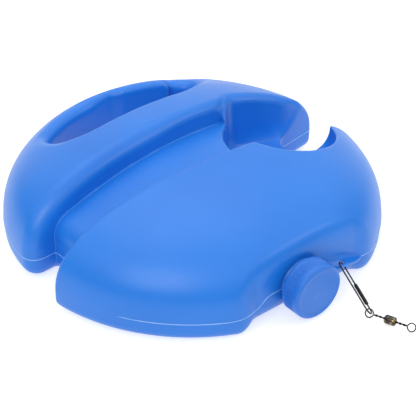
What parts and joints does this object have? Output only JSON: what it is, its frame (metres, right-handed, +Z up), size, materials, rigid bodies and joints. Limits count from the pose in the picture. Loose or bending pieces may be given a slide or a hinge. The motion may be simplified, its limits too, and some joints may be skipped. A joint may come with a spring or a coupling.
{
  "type": "tennis rebound trainer base",
  "caption": "Blow-moulded fillable disc base with racket groove, ball pocket, hand hole, screw filler cap and a wire snap with barrel swivel for an elastic rope.",
  "frame": {"origin": "centre of the flat underside", "axes": "+Z up, +X along the racket groove towards the ball pocket, -Y out of the filler neck, +Y towards the carrying handle"},
  "size_m": [0.2658, 0.3252, 0.0752],
  "materials": {
    "body_plastic": "satin blow-moulded polyethylene",
    "cap_plastic": "satin moulded polyethylene",
    "liner_foam": "white foamed polyethylene",
    "snap_steel": "black-nickel plated spring wire",
    "clasp_steel": "black-nickel plated sheet",
    "barrel_brass": "black-nickel plated brass",
    "eye_wire": "black-nickel plated wire"
  },
  "bodies": {
    "base": {"base_shell": "body_plastic"},
    "liner": {"cap_liner": "liner_foam"},
    "cap": {"filler_cap": "cap_plastic"},
    "snap": {"snap_wire": "snap_steel", "snap_clasp": "clasp_steel"},
    "eye_inner": {"swivel_eye_inner": "eye_wire"},
    "barrel": {"swivel_barrel": "barrel_brass"},
    "eye_outer": {"swivel_eye_outer": "eye_wire"}
  },
  "joints": [
    {"name": "cap_travel", "type": "slide", "parent": "base", "child": "liner", "axis": [0, -1, 0], "range_m": [0, 0.02]},
    {"name": "cap_turn", "type": "hinge", "parent": "liner", "child": "cap", "pos_m": [-0.0058, -0.124, 0.0226], "axis": [0, -1, 0], "range_deg": [0, 1800]},
    {"name": "snap_swing", "type": "hinge", "parent": "base", "child": "snap", "pos_m": [0.0262, -0.12707, 0.0226], "axis": [-0.9957, 0.0924, 0], "range_deg": [-58, 120]},
    {"name": "swivel_hang", "type": "hinge", "parent": "snap", "child": "eye_inner", "pos_m": [0.0232, -0.1594, 0.00325], "axis": [-0.7716, -0.2725, 0.5748], "range_deg": [-125, 45]},
    {"name": "barrel_spin", "type": "hinge", "parent": "eye_inner", "child": "barrel", "pos_m": [0.02834, -0.17264, 0.00325], "axis": [0.3621, -0.9322, 0], "continuous": true},
    {"name": "eye_spin", "type": "hinge", "parent": "barrel", "child": "eye_outer", "pos_m": [0.02834, -0.17264, 0.00325], "axis": [0.3621, -0.9322, 0], "continuous": true}
  ],
  "couplings": [
    {"joint": "cap_turn", "follows": "cap_travel", "rad_per_m": 1570.8}
  ]
}
